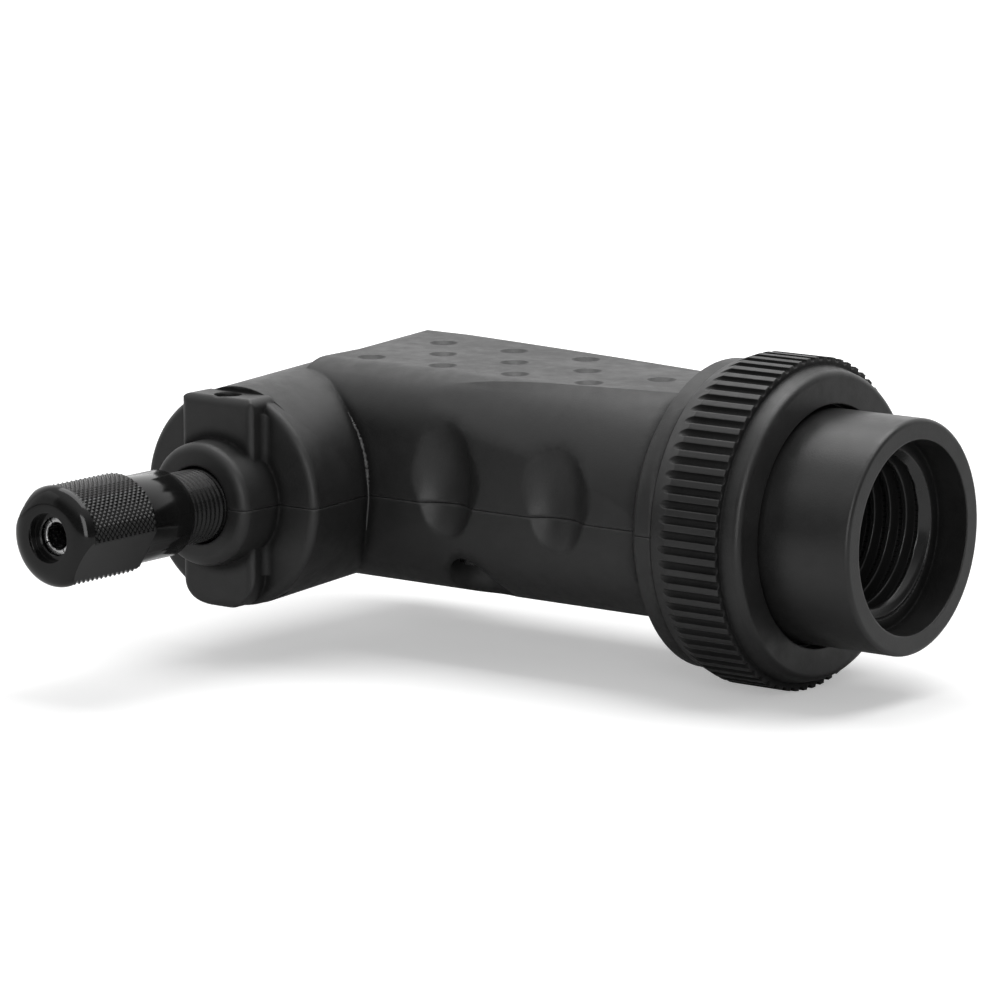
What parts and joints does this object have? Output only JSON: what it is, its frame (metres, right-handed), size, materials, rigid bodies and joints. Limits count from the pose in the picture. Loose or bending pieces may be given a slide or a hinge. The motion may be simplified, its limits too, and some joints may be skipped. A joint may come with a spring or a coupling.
{
  "type": "right angle rotary tool attachment",
  "caption": "Right angle attachment for a rotary tool: an L-shaped dark plastic housing with a threaded coupling, ribbed lock ring, bevel drive and collet spindle.",
  "frame": {"origin": "centre of the coupling mouth face", "axes": "+X leaves the coupling mouth along the input axis, -Y runs out along the output spindle, +Z is the flat top with the dimples"},
  "size_m": [0.0881, 0.0763, 0.0374],
  "materials": {
    "housing": "moulded satin, glass-filled",
    "ring_plastic": "moulded satin, glass-filled",
    "sleeve_plastic": "moulded smooth satin",
    "zinc_steel": "zinc plated",
    "shaft_steel": "ground",
    "gear_steel": "hobbed, oiled",
    "spring_steel": "phosphated spring steel",
    "bearing_steel": "ground",
    "ball_steel": "polished",
    "black_oxide": "black oxide",
    "nut_black": "polished black oxide",
    "collet_steel": "bright turned",
    "felt": "pressed felt"
  },
  "bodies": {
    "housing": {"housing_upper": "housing", "housing_lower": "housing", "housing_screws": "black_oxide", "input_outer_race_a": "bearing_steel", "input_outer_race_b": "bearing_steel", "spindle_outer_race_a": "bearing_steel", "spindle_outer_race_b": "bearing_steel", "dust_washer": "felt"},
    "coupling": {"coupling_sleeve": "sleeve_plastic"},
    "washer": {"friction_washer": "spring_steel"},
    "ring": {"lock_ring": "ring_plastic"},
    "input": {"input_shaft": "shaft_steel", "input_gear": "gear_steel", "input_spacer": "zinc_steel", "input_clip": "spring_steel", "input_inner_race_a": "bearing_steel", "input_inner_race_b": "bearing_steel"},
    "input_cage_a": {"input_balls_a": "ball_steel"},
    "input_cage_b": {"input_balls_b": "ball_steel"},
    "output": {"spindle": "black_oxide", "spindle_gear": "gear_steel", "spindle_clip": "spring_steel", "spindle_inner_race_a": "bearing_steel", "spindle_inner_race_b": "bearing_steel"},
    "spindle_cage_a": {"spindle_balls_a": "ball_steel"},
    "spindle_cage_b": {"spindle_balls_b": "ball_steel"},
    "collet": {"collet": "collet_steel"},
    "nut": {"collet_nut": "nut_black"}
  },
  "joints": [
    {"name": "coupling_turn", "type": "hinge", "parent": "housing", "child": "coupling", "pos_m": [-0.0156, 0, 0], "axis": [1, 0, 0], "continuous": true},
    {"name": "ring_travel", "type": "slide", "parent": "housing", "child": "washer", "axis": [1, 0, 0], "range_m": [0, 0.0015]},
    {"name": "ring_turn", "type": "hinge", "parent": "washer", "child": "ring", "pos_m": [-0.0156, 0, 0], "axis": [1, 0, 0], "range_deg": [0, 360]},
    {"name": "input_spin", "type": "hinge", "parent": "housing", "child": "input", "pos_m": [-0.0456, 0, 0], "axis": [1, 0, 0], "continuous": true},
    {"name": "input_cage_a_spin", "type": "hinge", "parent": "housing", "child": "input_cage_a", "pos_m": [-0.0605, 0, 0], "axis": [1, 0, 0], "continuous": true},
    {"name": "input_cage_b_spin", "type": "hinge", "parent": "housing", "child": "input_cage_b", "pos_m": [-0.0315, 0, 0], "axis": [1, 0, 0], "continuous": true},
    {"name": "spindle_spin", "type": "hinge", "parent": "housing", "child": "output", "pos_m": [-0.0756, -0.02, 0], "axis": [0, 1, 0], "continuous": true},
    {"name": "spindle_cage_a_spin", "type": "hinge", "parent": "housing", "child": "spindle_cage_a", "pos_m": [-0.0756, -0.021, 0], "axis": [0, 1, 0], "continuous": true},
    {"name": "spindle_cage_b_spin", "type": "hinge", "parent": "housing", "child": "spindle_cage_b", "pos_m": [-0.0756, 0.01, 0], "axis": [0, 1, 0], "continuous": true},
    {"name": "collet_travel", "type": "slide", "parent": "output", "child": "collet", "axis": [0, -1, 0], "range_m": [0, 0.00225]},
    {"name": "nut_turn", "type": "hinge", "parent": "collet", "child": "nut", "pos_m": [-0.0756, -0.05, 0], "axis": [0, -1, 0], "range_deg": [0, 1080]}
  ],
  "couplings": [
    {"joint": "ring_travel", "follows": "ring_turn", "m_per_rad": 0.00023873},
    {"joint": "input_spin", "follows": "spindle_spin", "ratio": 1},
    {"joint": "input_cage_a_spin", "follows": "spindle_spin", "ratio": 0.3843},
    {"joint": "input_cage_b_spin", "follows": "spindle_spin", "ratio": 0.3843},
    {"joint": "spindle_cage_a_spin", "follows": "spindle_spin", "ratio": 0.41},
    {"joint": "spindle_cage_b_spin", "follows": "spindle_spin", "ratio": 0.4005},
    {"joint": "collet_travel", "follows": "nut_turn", "m_per_rad": 0.00011937}
  ]
}
